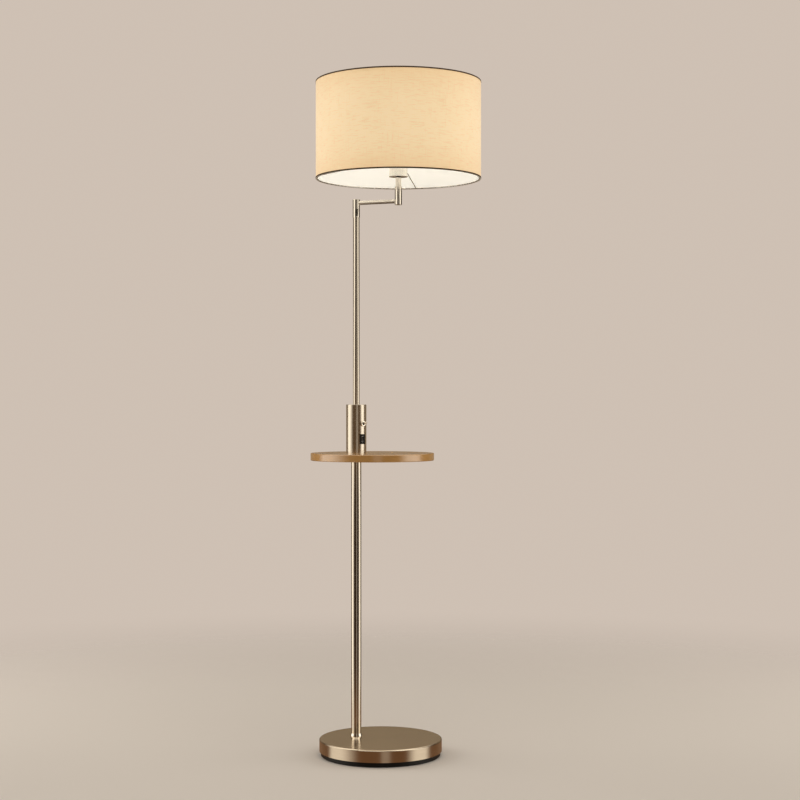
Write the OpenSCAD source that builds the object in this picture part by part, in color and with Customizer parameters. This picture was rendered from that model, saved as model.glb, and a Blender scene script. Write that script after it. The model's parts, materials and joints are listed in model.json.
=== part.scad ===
// Floor lamp with a round tray table, a switch and charging housing, a swing arm and a drum shade.
// Millimetres. The origin lies on the floor under the centre of the base, +Z is up,
// and +X points from the pole towards the shade.

/* [Base] */
// Diameter of the round base
base_d = 300; // [260:1:360]
// Height of the base from the floor to its top face
base_h = 42; // [34:0.5:50]
// Height of the black plinth that shows below the metal cover
plinth_h = 12; // [8:0.5:14]
// How far the plinth stands back from the cover's edge
plinth_inset = 4; // [2:0.5:10]
// Thickness of the foam pad under the base
pad_t = 2; // [1:0.25:3]
// How far the pad stands back from the plinth's edge
pad_inset = 3; // [1:0.5:10]
// Wall of the spun metal cover
cover_wall = 1.5; // [1:0.1:2.2]
// Radius of the cover's upper edge
cover_edge_r = 3; // [2.4:0.1:5]
// Height of the base plate's lip inside the cover
plate_lip = 3; // [2.5:0.5:4]
// Thickness of the iron weight
weight_t = 10; // [6:0.5:13]
// Clearance between the iron weight and the cover's wall
weight_gap = 6.5; // [4:0.5:30]
// Diameter of the weight's boss under the pole
boss_d = 64; // [46:1:80]

/* [Poles] */
// Distance from the base's centre back to the pole's axis
pole_offset = 65; // [45:1:90]
// Diameter of the lower pole
lower_d = 25; // [22:0.5:32]
// Diameter of the upper pole
upper_d = 16; // [15:0.5:17]
// Wall of the pole tubes
tube_wall = 1.2; // [0.8:0.1:1.5]
// Height of the lower pole's top above the floor
lower_top = 722; // [500:1:900]
// Length of the upper pole
upper_l = 461; // [300:1:700]
// Height of the flared collar at the pole's foot
collar_h = 7.5; // [4:0.5:12]
// Width of the collar's foot beyond the pole
collar_t = 2.2; // [1:0.1:4]
// Length of the threaded bushes in the poles' ends
bush_l = 20; // [12:1:30]

/* [Table] */
// Diameter of the wooden table top
table_d = 303; // [240:1:400]
// Thickness of the table top
table_t = 18; // [12:0.5:25]
// Distance from the pole's axis forward to the table's centre
table_shift = 43; // [0:1:80]
// Rounding of the table's edges
table_edge_r = 2; // [0.5:0.25:5]

/* [Housing] */
// Diameter of the switch housing
housing_d = 50; // [46:0.5:60]
// Height of the switch housing
housing_h = 119; // [108:1:140]
// Wall of the housing
housing_wall = 1.2; // [0.8:0.1:1.5]
// Thickness of the housing's closed top
housing_top_t = 2; // [1.5:0.25:4]
// Rounding of the housing's top edge
housing_edge_r = 1.2; // [0.5:0.1:1.8]
// Direction that the switch and the port face, turned from +X
face_turn = -27; // [-180:1:180]
// Height of the switch above the table
switch_z = 72; // [66:1:80]
// Height of the port's centre above the table
port_z = 34; // [32:1:40]

/* [Switch] */
// Outside diameter of the switch's ring nut
ring_nut_d = 13.6; // [13.4:0.1:16]
// Thickness of the ring nut
ring_nut_t = 2.6; // [1.5:0.1:3]
// Diameter of the switch's threaded bushing
bushing_d = 11.8; // [11:0.1:12.4]
// Length of the lever from its pivot to its tip
lever_l = 18; // [16:0.5:24]
// Diameter of the lever's tip
lever_tip_d = 4.6; // [4.6:0.1:6.4]
// Tilt of the lever up from level when it is on
lever_tilt = 10; // [6:1:11]

/* [Charging port] */
// Width of the black bezel
bezel_w = 17.5; // [13:0.5:18]
// Height of the black bezel
bezel_h = 24; // [20:0.5:26]
// Width of the metal port, which stands on edge
port_w = 5.8; // [5.6:0.1:6.4]
// Height of the metal port
port_h = 13.3; // [13:0.1:15]
// Depth of the metal port
port_depth = 13.5; // [12.5:0.25:14]

/* [Swing arm] */
// Distance between the two swivel axes
arm_reach = 112; // [60:1:200]
// Diameter of the arm's rod
arm_d = 10; // [9:0.25:11]
// Wall of the arm's rod
arm_wall = 1; // [0.6:0.1:1.2]
// How deep the rod's ends sit in the hubs
arm_seat = 3.5; // [2.5:0.25:4]
// Diameter of the knuckles
knuckle_d = 17.5; // [17.2:0.1:20]
// Height of a hub
hub_h = 24; // [22:0.5:30]
// Height of the rod's axis above a hub's joint face
hub_rise = 14.8; // [13:0.2:16]
// Length of a friction sleeve
sleeve_l = 20.5; // [19.5:0.5:26]
// Width of the slot that makes a sleeve springy
slot_w = 7.4; // [3:0.2:9]
// Depth of the slot
slot_l = 19; // [12:0.5:19]
// Diameter of a hub's spigot
spigot_d = 12.9; // [12.5:0.1:13.2]
// Length of a hub's spigot
spigot_l = 17; // [15:0.5:17.5]
// Running clearance between a spigot and its sleeve
swivel_gap = 0.06; // [0.03:0.01:0.1]
// Direction of the pole sleeve's slot, turned from +X
pole_slot_turn = -62; // [-180:1:180]
// Direction of the head sleeve's slot, turned from +X
head_slot_turn = 110; // [-180:1:180]
// Turn of the arm or the head each way, in degrees
swing = 155; // [60:1:155]

/* [Lamp head] */
// Diameter of the post under the shade
post_d = 14; // [13.6:0.1:15]
// Length of the post between the sleeve and the cup's washer
post_l = 22; // [16:0.5:80]
// Thickness of the dark washer under the cup
cup_washer_t = 2; // [1:0.25:4]
// Outside diameter of the socket cup
cup_d = 45; // [44:0.5:52]
// Height of the socket cup
cup_h = 39.5; // [36:0.5:44]
// Wall of the socket cup
cup_wall = 1.2; // [0.8:0.1:1.5]
// Height of the cup's rolled foot band
cup_band_h = 5.6; // [3:0.2:10]
// How far the foot bead stands out
cup_bead = 1; // [0.4:0.1:2]
// Diameter of the lamp holder's body
holder_d = 38; // [36:0.5:40]
// Length of the lamp holder's body
holder_l = 44; // [43:0.5:56]
// Diameter of the bulb's globe
bulb_d = 60; // [50:1:70]
// Length of the bulb with its cap
bulb_l = 106; // [98:1:125]

/* [Shade] */
// Diameter of the drum shade
shade_d = 404; // [300:1:460]
// Height of the drum shade
shade_h = 238; // [215:1:300]
// Height from the shade's lower rim up to the top of the fitter's ring
fitter_rise = 47.5; // [30:0.5:60]
// Thickness of the linen
linen_t = 0.8; // [0.5:0.1:1.5]
// Thickness of the stiff liner behind the linen
liner_t = 0.6; // [0.4:0.1:1.2]
// Height of the hems at the rims
hem_h = 3.6; // [2.5:0.1:10]
// Diameter of the rings' wire
wire_d = 3; // [2.5:0.1:5]
// Diameter of the fitter's spokes
spoke_d = 2.6; // [1.8:0.1:2.8]
// Number of spokes in the fitter
spoke_count = 3; // [3:1:4]
// Direction of the first spoke, turned from +X
spoke_turn = 98.8; // [0:0.1:119]

/* [Fits] */
// Diameter of the hollow threaded stems
stem_d = 10; // [9.6:0.1:10]
// Bore of the hollow threaded stems
stem_bore = 7; // [6:0.1:7.2]
// Diameter of the flex inside
flex_d = 5.2; // [4:0.1:5.4]
// Clearance of a round piece in its seat
fit = 0.1; // [0.05:0.01:0.2]
// Clearance round a piece that is only passed through
loose = 0.25; // [0.2:0.05:0.4]

/* [Hidden] */
$fn = 96;

// How far a cutting shape runs past the face it cuts
over = 1;

// Places along the pole
pole_x = -pole_offset;
table_x = pole_x + table_shift;
head_x = pole_x + arm_reach;
table_z = lower_top + table_t;
housing_top = table_z + housing_h;
upper_top = housing_top + upper_l;
joint_z = upper_top + sleeve_l;
arm_z = joint_z + hub_rise;
head_joint_z = arm_z + hub_rise;
post_z = head_joint_z + sleeve_l;
post_top = post_z + post_l;
cup_z = post_top + cup_washer_t;
cup_top = cup_z + cup_h;

// Base
plate_z = pad_t;
plinth_d = base_d - 2 * plinth_inset;
cover_id = base_d - 2 * cover_wall;
weight_d = cover_id - 2 * weight_gap;
plate_top = plinth_h + plate_lip;
cover_under = base_h - cover_wall;
groove_play = 1.4;
groove_w = flex_d + 2 * groove_play;
groove_cover_t = 2;
groove_roof = plate_top - groove_cover_t;
groove_z = groove_roof - groove_w / 2;
gland_l = 14;
gland_proud = 1.5;
nut_af = 17;
nut_h = 6;
washer_t = 2;
washer_d = 30;
seat_d = washer_d + 4;
elbow_room = 9.4;
seat_z = groove_z + elbow_room + nut_h + washer_t;
elbow_r = 8;
collar_foot_h = 1;
collar_lip_t = 0.5;

// Stems and nuts
stem_hole = stem_d + 2 * fit;
stem_tail = 0.5;
stem_rise = 6;
nut_trim = 1.1;

// Housing
housing_id = housing_d - 2 * housing_wall;
floor_t = 3;
floor_rim_h = 9;
floor_rim_t = 2;
upper_washer_d = 26;
upper_washer_t = 1.5;

// Switch, measured outwards from the housing's axis
bushing_tip = housing_d / 2 + ring_nut_t + 0.9;
bushing_root = housing_d / 2 - 5.5;
switch_w = 17;
switch_h = 28;
switch_depth = 13;
tab_l = 2.6;
tab_t = 0.8;
tab_h = 8.4;
tab_step = 5.4;
lever_pivot = housing_d / 2 - 2.5;
lever_ball_d = 6.2;
lever_neck_d = 3.6;
lever_pin_d = 1.6;
lever_pin_inset = 1.1;
lever_pin_l = bushing_d - 2 * lever_pin_inset;
lever_play = 0.7;
lever_bore_d = lever_ball_d + 2 * lever_play;

// Charging port, measured outwards from the housing's axis
bezel_proud = 0.3;
bezel_back = 18;
bezel_flange = 2;
port_wall = 0.4;
port_front = housing_d / 2 - 0.6;
port_back = port_front - port_depth;
board_w = 18;
board_h = 25;
board_t = 1.6;
board_part = [10, 12, 3.6];
tongue_t = 1.9;
tongue_l = 9;
tongue_side = 0.5;
tongue_end = 1.2;

// Knuckles, measured from a hub's joint face
hub_play = 0.95;
hub_bore_d = flex_d + 2 * hub_play;
groove_deep = 1.2;
stop_z = -9;
stop_d = 4;
stop_tip_d = 2.8;
stop_tip_gap = 0.35;
stop_play_angle = 1.5;
stop_tip_r = spigot_d / 2 - groove_deep + stop_tip_gap;
stop_half_angle = asin(stop_tip_d / 2 / stop_tip_r) + stop_play_angle;
stop_key = 2;
pole_stop_turn = 100;
head_stop_turn = 30;
flex_bend = 5;
spigot_end_gap = 0.5;
plug_top_l = sleeve_l - spigot_l - spigot_end_gap;
plug_l = 15;
sleeve_id = spigot_d + 2 * swivel_gap;

// Lamp holder and bulb
flex_play = 0.5;
cup_floor_t = 1.5;
bead_h = 2.4;
seam_w = 0.5;
cup_nut_af = 14;
cup_nut_h = 5;
cup_washer_inset = 0.5;
holder_lift = 1;
holder_z = cup_z + cup_floor_t + cup_nut_h + holder_lift;
holder_top = holder_z + holder_l;
well_d = 28.4;
neck_gap = 0.5;
shell_t = 0.4;
shell_short = 2;
contact_h = 3;
contact_d = 8;
contact_t = 1;
contact_strip_w = 2.7;
cap_play = 0.4;
cap_d = well_d - 2 * (shell_t + fit + cap_play);
cap_l = 25;
bulb_z = holder_top + neck_gap - cap_l;
well_z = bulb_z - contact_h;
bulb_tip_h = 1.6;
bulb_tip_foot_d = 12.8;
bulb_neck_d = 30;
bulb_top = bulb_z + bulb_l;
globe_z = bulb_top - bulb_d / 2;
collar_overlap = 0.1;
collar_top = globe_z - bulb_d * collar_overlap;
globe_t = 1.2;

// Shade
fitter_t = 2;
fitter_top = cup_top + fitter_t;
fitter_proud = 3.5;
fitter_d = cup_d + 2 * fitter_proud;
fitter_play = 1;
fitter_hole = holder_d + 2 * fitter_play;
ring_h = 6;
grip_count = 24;
grip_r = 2;
grip_deep = 1;
shade_z = fitter_top - fitter_rise;
shade_top = shade_z + shade_h;
hem_t = 0.5;
linen_r = shade_d / 2 - hem_t - fit;
liner_r = linen_r - linen_t - fit;
liner_ir = liner_r - liner_t;
hem_ir = liner_ir - fit - hem_t;
ring_wire_r = hem_ir - fit - wire_d / 2;
wire_low_z = shade_z + hem_t + wire_d / 2;
wire_high_z = shade_top - hem_t - wire_d / 2;

// ---- shared shapes ----

// A ring of the given diameters, standing on z = 0
module ring(d_out, d_in, h) {
    difference() {
        cylinder(d = d_out, h = h);
        translate([0, 0, -over]) cylinder(d = d_in, h = h + 2 * over);
    }
}

// What is cut from a profile's upper outer corner to round it, from the arc's centre
module corner(r) {
    difference() {
        square(r + over);
        circle(r);
    }
}

// Half profile of a disc with its upper edge rounded
module disc_profile(d, h, r) {
    difference() {
        square([d / 2, h]);
        translate([d / 2 - r, h - r]) corner(r);
    }
}

// A hexagon nut with a plain bore
module hex_nut(af, bore, h) {
    difference() {
        intersection() {
            cylinder(d = af / cos(30), h = h, $fn = 6);
            cylinder(d = af * nut_trim, h = h);
        }
        translate([0, 0, -over]) cylinder(d = bore, h = h + 2 * over);
    }
}

// A length of hollow threaded stem between two heights
module stem(z0, z1) {
    translate([0, 0, z0]) ring(stem_d, stem_bore, z1 - z0);
}

module on_pole() {
    translate([pole_x, 0, 0]) children();
}

module on_head() {
    translate([head_x, 0, 0]) children();
}

// Turns a piece so that its own +X looks out of the housing's face
module on_face(z) {
    on_pole() rotate([0, 0, face_turn]) translate([0, 0, table_z + z]) children();
}

// A block that is centred across and in height, and runs from x0 to x1
module block(x0, x1, w, h) {
    translate([x0, -w / 2, -h / 2]) cube([x1 - x0, w, h]);
}

// A round bar lying along +X
module bar(x0, x1, d) {
    translate([x0, 0, 0]) rotate([0, 90, 0]) cylinder(d = d, h = x1 - x0);
}

// ---- base ----

module base_pad() {
    color("dimgray") cylinder(d = plinth_d - 2 * pad_inset, h = pad_t);
}

// Section of the channel for the flex, with a round roof, in the plane across it
module channel_section(grow, floor_z) {
    r = groove_w / 2 + grow;
    translate([0, groove_z]) intersection() {
        circle(r);
        translate([-r, 0]) square([2 * r, r]);
    }
    translate([-r, floor_z]) square([2 * r, groove_z - floor_z]);
}

module channel(x0, x1, grow, floor_z) {
    translate([x0, 0, 0])
        rotate([90, 0, 90])
            linear_extrude(x1 - x0) channel_section(grow, floor_z);
}

module base_plate() {
    color([0.06, 0.06, 0.06]) difference() {
        union() {
            translate([0, 0, plate_z]) cylinder(d = plinth_d, h = plinth_h - plate_z);
            translate([0, 0, plinth_h]) cylinder(d = cover_id - 2 * fit, h = plate_lip);
        }
        on_pole() translate([0, 0, plate_z - over]) cylinder(d = seat_d, h = plate_top + 2 * over);
        channel(-base_d, pole_x, 0, plate_z - over);
    }
}

module cord_gland() {
    gland_x = -plinth_d / 2 - gland_proud;
    color([0.1, 0.1, 0.1]) difference() {
        channel(gland_x, gland_x + gland_l, -fit, plate_z + fit);
        translate([0, 0, groove_z]) bar(gland_x - over, gland_x + gland_l + over, flex_d + 2 * fit);
    }
}

module base_weight() {
    color([0.2, 0.2, 0.21]) difference() {
        union() {
            translate([0, 0, plate_top]) cylinder(d = weight_d, h = weight_t);
            on_pole() translate([0, 0, plate_top]) cylinder(d = boss_d, h = cover_under - plate_top);
        }
        on_pole() {
            translate([0, 0, plate_top - over]) cylinder(d = stem_hole, h = base_h);
            translate([0, 0, plate_top - over]) cylinder(d = seat_d, h = seat_z - plate_top + over);
        }
    }
}

module base_cover() {
    color([0.72, 0.66, 0.56]) difference() {
        rotate_extrude() difference() {
            translate([0, plinth_h]) disc_profile(base_d, base_h - plinth_h, cover_edge_r);
            translate([0, plinth_h - over])
                disc_profile(cover_id, cover_under - plinth_h + over, cover_edge_r - cover_wall);
        }
        on_pole() translate([0, 0, cover_under - over]) cylinder(d = stem_hole, h = cover_wall + 2 * over);
    }
}

module base_nut() {
    color([0.6, 0.6, 0.6])
        on_pole() translate([0, 0, seat_z - washer_t - nut_h]) hex_nut(nut_af, stem_hole, nut_h);
}

module base_washer() {
    color([0.65, 0.65, 0.65])
        on_pole() translate([0, 0, seat_z - washer_t]) ring(washer_d, stem_hole, washer_t);
}

module base_stem() {
    color([0.75, 0.7, 0.5])
        on_pole() stem(seat_z - washer_t - nut_h - stem_tail, base_h + bush_l - stem_tail);
}

// ---- lower pole ----

module foot_collar() {
    collar_d = lower_d + 2 * collar_t;
    color([0.8, 0.75, 0.66]) on_pole() translate([0, 0, base_h]) difference() {
        union() {
            cylinder(d = collar_d, h = collar_foot_h);
            translate([0, 0, collar_foot_h])
                cylinder(d1 = collar_d, d2 = lower_d + 2 * collar_lip_t, h = collar_h - collar_foot_h);
        }
        translate([0, 0, -over]) cylinder(d = lower_d + 2 * fit, h = collar_h + 2 * over);
    }
}

module lower_pole() {
    color([0.72, 0.67, 0.58])
        on_pole() translate([0, 0, base_h]) ring(lower_d, lower_d - 2 * tube_wall, lower_top - base_h);
}

module pole_bushes() {
    color([0.6, 0.6, 0.6]) on_pole()
        for (z = [base_h, lower_top - bush_l])
            translate([0, 0, z]) ring(lower_d - 2 * tube_wall - 2 * fit, stem_hole, bush_l);
}

// ---- table ----

module table_top() {
    color([0.86, 0.72, 0.5]) difference() {
        translate([table_x, 0, lower_top]) rotate_extrude() difference() {
            disc_profile(table_d, table_t, table_edge_r);
            translate([table_d / 2 - table_edge_r, table_edge_r]) mirror([0, 1]) corner(table_edge_r);
        }
        on_pole() translate([0, 0, lower_top - over])
            cylinder(d = stem_d + 2 * loose, h = table_t + 2 * over);
    }
}

module table_stem() {
    color([0.75, 0.7, 0.5])
        on_pole() stem(lower_top - bush_l + stem_tail, table_z + floor_t + nut_h + stem_rise);
}

module table_nut() {
    color([0.6, 0.6, 0.6])
        on_pole() translate([0, 0, table_z + floor_t]) hex_nut(nut_af, stem_hole, nut_h);
}

// ---- housing ----

module housing_floor() {
    floor_d = housing_id - 2 * fit;
    color([0.5, 0.5, 0.5]) on_pole() translate([0, 0, table_z]) difference() {
        cylinder(d = floor_d, h = floor_rim_h);
        translate([0, 0, floor_t]) cylinder(d = floor_d - 2 * floor_rim_t, h = floor_rim_h);
        translate([0, 0, -over]) cylinder(d = stem_hole, h = floor_t + 2 * over);
    }
}

module housing_shell() {
    color([0.72, 0.66, 0.56]) difference() {
        on_pole() translate([0, 0, table_z]) difference() {
            rotate_extrude() disc_profile(housing_d, housing_h, housing_edge_r);
            translate([0, 0, -over]) cylinder(d = housing_id, h = housing_h - housing_top_t + over);
            cylinder(d = stem_hole, h = housing_h + over);
        }
        on_face(switch_z) bar(bushing_root, housing_d, bushing_d + 2 * loose);
        on_face(port_z) block(bezel_back, housing_d, bezel_w + 2 * loose, bezel_h + 2 * loose);
    }
}

module switch_body() {
    body_back = bushing_root - switch_depth;
    color([0.12, 0.12, 0.12]) on_face(switch_z) difference() {
        union() {
            block(body_back, bushing_root, switch_w, switch_h);
            bar(bushing_root - over, bushing_tip, bushing_d);
            for (side = [-1, 1])
                translate([0, side * tab_step, 0]) block(body_back - tab_l, body_back + over, tab_t, tab_h);
        }
        bar(lever_pivot - lever_bore_d / 2, bushing_tip + over, lever_bore_d);
        rotate([90, 0, 0]) translate([lever_pivot, 0, -bushing_d])
            cylinder(d = lever_pin_d + 2 * swivel_gap, h = 2 * bushing_d);
    }
}

module switch_nut() {
    bevel = 0.6;
    color([0.82, 0.78, 0.7]) on_face(switch_z) rotate([0, 90, 0])
        translate([0, 0, housing_d / 2 + fit]) difference() {
            union() {
                cylinder(d = ring_nut_d, h = ring_nut_t - bevel);
                translate([0, 0, ring_nut_t - bevel])
                    cylinder(d1 = ring_nut_d, d2 = ring_nut_d - 2 * bevel, h = bevel);
            }
            translate([0, 0, -over]) cylinder(d = bushing_d + 2 * fit, h = ring_nut_t + 2 * over);
        }
}

module switch_lever() {
    tip_r = lever_tip_d / 2;
    tip_z = lever_l - tip_r;
    color([0.78, 0.74, 0.66]) on_face(switch_z) translate([lever_pivot, 0, 0]) {
        rotate([0, 90 - lever_tilt, 0]) {
            sphere(d = lever_ball_d);
            cylinder(d1 = lever_neck_d, d2 = lever_tip_d, h = tip_z);
            translate([0, 0, tip_z]) sphere(d = lever_tip_d);
        }
        rotate([90, 0, 0]) cylinder(d = lever_pin_d, h = lever_pin_l, center = true);
    }
}

module port_bezel() {
    color([0.05, 0.05, 0.05]) on_face(port_z) difference() {
        union() {
            intersection() {
                block(bezel_back, housing_d, bezel_w, bezel_h);
                cylinder(d = housing_d + 2 * bezel_proud, h = housing_h, center = true);
            }
            intersection() {
                block(bezel_back, housing_d, bezel_w + 2 * bezel_flange, bezel_h + 2 * bezel_flange);
                cylinder(d = housing_id - 2 * fit, h = housing_h, center = true);
            }
        }
        block(bezel_back - over, housing_d, port_w + 2 * fit, port_h + 2 * fit);
    }
}

module port_shell() {
    color([0.7, 0.7, 0.72]) on_face(port_z) difference() {
        block(port_back, port_front, port_w, port_h);
        block(port_back + 2 * port_wall, port_front + over, port_w - 2 * port_wall, port_h - 2 * port_wall);
    }
}

module port_tongue() {
    tongue_y = port_w / 2 - port_wall - tongue_side - tongue_t / 2;
    tongue_x = port_back + 2 * port_wall;
    color([0.9, 0.9, 0.9]) on_face(port_z) translate([0, tongue_y, 0])
        block(tongue_x, tongue_x + tongue_l, tongue_t, port_h - 2 * tongue_end);
}

module charger_board() {
    board_back = port_back - board_t;
    color([0.1, 0.35, 0.2]) on_face(port_z) {
        block(board_back, port_back, board_w, board_h);
        block(board_back - board_part[2], board_back, board_part[0], board_part[1]);
    }
}

module upper_stem() {
    nut_under = housing_top - housing_top_t - upper_washer_t - nut_h;
    color([0.75, 0.7, 0.5]) on_pole() stem(nut_under - stem_tail, housing_top + bush_l - stem_tail);
}

module upper_nut() {
    color([0.6, 0.6, 0.6]) on_pole()
        translate([0, 0, housing_top - housing_top_t - upper_washer_t - nut_h])
            hex_nut(nut_af, stem_hole, nut_h);
}

module upper_washer() {
    color([0.65, 0.65, 0.65]) on_pole()
        translate([0, 0, housing_top - housing_top_t - upper_washer_t])
            ring(upper_washer_d, stem_hole, upper_washer_t);
}

// ---- upper pole and knuckles ----

module upper_bush() {
    color([0.6, 0.6, 0.6]) on_pole()
        translate([0, 0, housing_top]) ring(upper_d - 2 * tube_wall - 2 * fit, stem_hole, bush_l);
}

module upper_pole() {
    color([0.7, 0.66, 0.58])
        on_pole() translate([0, 0, housing_top]) ring(upper_d, upper_d - 2 * tube_wall, upper_l);
}

// Joins a tube that ends at z = 0, below, to the sleeve above it
module plug(tube_id) {
    difference() {
        union() {
            translate([0, 0, -plug_l]) cylinder(d = tube_id - 2 * fit, h = plug_l);
            cylinder(d = sleeve_id - 2 * fit, h = plug_top_l);
        }
        translate([0, 0, -plug_l - over]) cylinder(d = hub_bore_d, h = plug_l + plug_top_l + 2 * over);
    }
}

// A split sleeve below its joint face at z = 0, with the stop screw's hole
module sleeve(slot_turn, stop_turn) {
    difference() {
        translate([0, 0, -sleeve_l]) ring(knuckle_d, sleeve_id, sleeve_l);
        rotate([0, 0, slot_turn]) {
            translate([0, -slot_w / 2, -slot_l + slot_w / 2]) cube([knuckle_d, slot_w, slot_l]);
            translate([0, 0, -slot_l + slot_w / 2]) bar(0, knuckle_d, slot_w);
        }
        rotate([0, 0, stop_turn]) translate([0, 0, stop_z]) bar(0, knuckle_d, stop_d + 2 * fit);
    }
}

// The headless screw whose tip runs in the spigot's groove
module stop_screw(stop_turn) {
    rotate([0, 0, stop_turn]) translate([0, 0, stop_z]) difference() {
        union() {
            bar(sleeve_id / 2 + fit, knuckle_d / 2 - 2 * fit, stop_d);
            bar(stop_tip_r, sleeve_id / 2 + fit + over, stop_tip_d);
        }
        translate([knuckle_d / 2 - stop_key / 2, 0, 0])
            rotate([0, 90, 0]) cylinder(d = stop_key, h = stop_key, $fn = 6);
    }
}

// A hub above its joint face at z = 0: its spigot hangs below and the rod leaves along +X
module hub(stop_turn) {
    edge_r = 1;
    difference() {
        union() {
            rotate_extrude() disc_profile(knuckle_d, hub_h, edge_r);
            translate([0, 0, -spigot_l]) cylinder(d = spigot_d, h = spigot_l + over);
        }
        translate([0, 0, -spigot_l - over]) cylinder(d = hub_bore_d, h = spigot_l + over + hub_rise);
        translate([0, 0, hub_rise]) sphere(d = hub_bore_d);
        translate([0, 0, hub_rise]) bar(0, knuckle_d, hub_bore_d);
        translate([0, 0, hub_rise]) bar(knuckle_d / 2 - arm_seat, knuckle_d, arm_d + 2 * fit);
        rotate([0, 0, stop_turn - swing - stop_half_angle]) translate([0, 0, stop_z])
            rotate_extrude(angle = 2 * (swing + stop_half_angle))
                translate([spigot_d / 2 - groove_deep, -stop_d / 2])
                    square([groove_deep + over, stop_d]);
    }
}

// Stands a knuckle piece on the pole's joint, as drawn
module at_pole_joint() {
    on_pole() translate([0, 0, joint_z]) children();
}

// Hangs a knuckle piece from the head's joint, turned over and looking back along the arm
module at_head_joint() {
    on_head() translate([0, 0, head_joint_z]) rotate([0, 180, 0]) children();
}

module pole_plug() {
    color([0.6, 0.6, 0.6]) on_pole() translate([0, 0, upper_top]) plug(upper_d - 2 * tube_wall);
}

module pole_sleeve() {
    color([0.66, 0.62, 0.54]) at_pole_joint() sleeve(pole_slot_turn, pole_stop_turn);
}

module pole_stop_screw() {
    color([0.3, 0.3, 0.3]) at_pole_joint() stop_screw(pole_stop_turn);
}

module pole_hub() {
    color([0.7, 0.66, 0.58]) at_pole_joint() hub(pole_stop_turn);
}

module arm_rod() {
    rod_start = pole_x + knuckle_d / 2 - arm_seat + fit;
    rod_end = head_x - knuckle_d / 2 + arm_seat - fit;
    color([0.72, 0.68, 0.6]) translate([0, 0, arm_z]) difference() {
        bar(rod_start, rod_end, arm_d);
        bar(rod_start - over, rod_end + over, arm_d - 2 * arm_wall);
    }
}

module head_hub() {
    color([0.7, 0.66, 0.58]) at_head_joint() hub(180 - head_stop_turn);
}

module head_sleeve() {
    color([0.66, 0.62, 0.54]) at_head_joint() sleeve(180 - head_slot_turn, 180 - head_stop_turn);
}

module head_stop_screw() {
    color([0.3, 0.3, 0.3]) at_head_joint() stop_screw(180 - head_stop_turn);
}

module head_plug() {
    color([0.6, 0.6, 0.6])
        on_head() translate([0, 0, post_z]) rotate([0, 180, 0]) plug(post_d - 2 * tube_wall);
}

// ---- lamp head ----

module post() {
    color([0.74, 0.7, 0.62])
        on_head() translate([0, 0, post_z]) ring(post_d, post_d - 2 * tube_wall, post_l);
}

module holder_stem() {
    stem_foot_l = min(post_l - plug_l, bush_l) - 2 * stem_tail;
    color([0.75, 0.7, 0.5]) on_head() difference() {
        union() {
            translate([0, 0, post_top - stem_foot_l])
                cylinder(d = post_d - 2 * tube_wall - 2 * fit, h = stem_foot_l);
            translate([0, 0, post_top]) cylinder(d = stem_d, h = holder_z + stem_rise - post_top);
        }
        translate([0, 0, post_z]) cylinder(d = flex_d + 2 * flex_play, h = holder_z);
    }
}

module cup_washer() {
    color([0.12, 0.11, 0.1]) on_head() translate([0, 0, post_top])
        ring(post_d - 2 * cup_washer_inset, stem_hole, cup_washer_t);
}

module socket_cup() {
    cup_id = cup_d - 2 * cup_wall;
    color([0.8, 0.75, 0.66]) on_head() translate([0, 0, cup_z]) difference() {
        union() {
            cylinder(d = cup_d, h = cup_h);
            rotate_extrude() disc_profile(cup_d + 2 * cup_bead, bead_h, cup_bead);
        }
        translate([0, 0, cup_floor_t]) cylinder(d = cup_id, h = cup_h);
        translate([0, 0, -over]) cylinder(d = stem_hole, h = cup_floor_t + 2 * over);
        translate([0, 0, cup_band_h]) ring(cup_d + 2 * over, cup_d - seam_w, seam_w);
    }
}

module cup_nut() {
    color([0.6, 0.6, 0.6])
        on_head() translate([0, 0, cup_z + cup_floor_t]) hex_nut(cup_nut_af, stem_hole, cup_nut_h);
}

module lamp_holder() {
    color([0.9, 0.88, 0.84]) on_head() difference() {
        translate([0, 0, holder_z]) cylinder(d = holder_d, h = holder_l);
        translate([0, 0, holder_z - over]) cylinder(d = stem_hole, h = holder_l);
        translate([0, 0, well_z]) cylinder(d = well_d, h = holder_l);
    }
}

module screw_shell() {
    color([0.8, 0.65, 0.3]) on_head() translate([0, 0, bulb_z])
        ring(well_d - 2 * fit, well_d - 2 * (fit + shell_t), cap_l - shell_short);
}

module centre_contact() {
    color([0.8, 0.65, 0.3]) on_head() translate([0, 0, well_z]) {
        ring(well_d - 2 * fit, stem_hole, contact_t);
        translate([0, 0, contact_h - contact_t]) cylinder(d = contact_d, h = contact_t);
        translate([0, 0, contact_h / 2])
            block(-stem_hole / 2 - contact_t, -2 * contact_t, contact_strip_w, contact_h);
    }
}

// The ring is tightened by hand, so its edge is notched for grip
module shade_ring() {
    color([0.9, 0.88, 0.84]) on_head() translate([0, 0, fitter_top]) difference() {
        ring(fitter_d, holder_d + 2 * fit, ring_h);
        for (i = [0 : grip_count - 1])
            rotate([0, 0, i * 360 / grip_count])
                translate([fitter_d / 2 + grip_r - grip_deep, 0, -over])
                    cylinder(r = grip_r, h = ring_h + 2 * over);
    }
}

module bulb_cap() {
    color([0.75, 0.75, 0.76]) on_head() translate([0, 0, bulb_z]) {
        cylinder(d = contact_d, h = bulb_tip_h);
        translate([0, 0, bulb_tip_h]) cylinder(d1 = bulb_tip_foot_d, d2 = cap_d, h = bulb_tip_h);
        translate([0, 0, 2 * bulb_tip_h]) cylinder(d = cap_d, h = cap_l - 2 * bulb_tip_h);
    }
}

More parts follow.
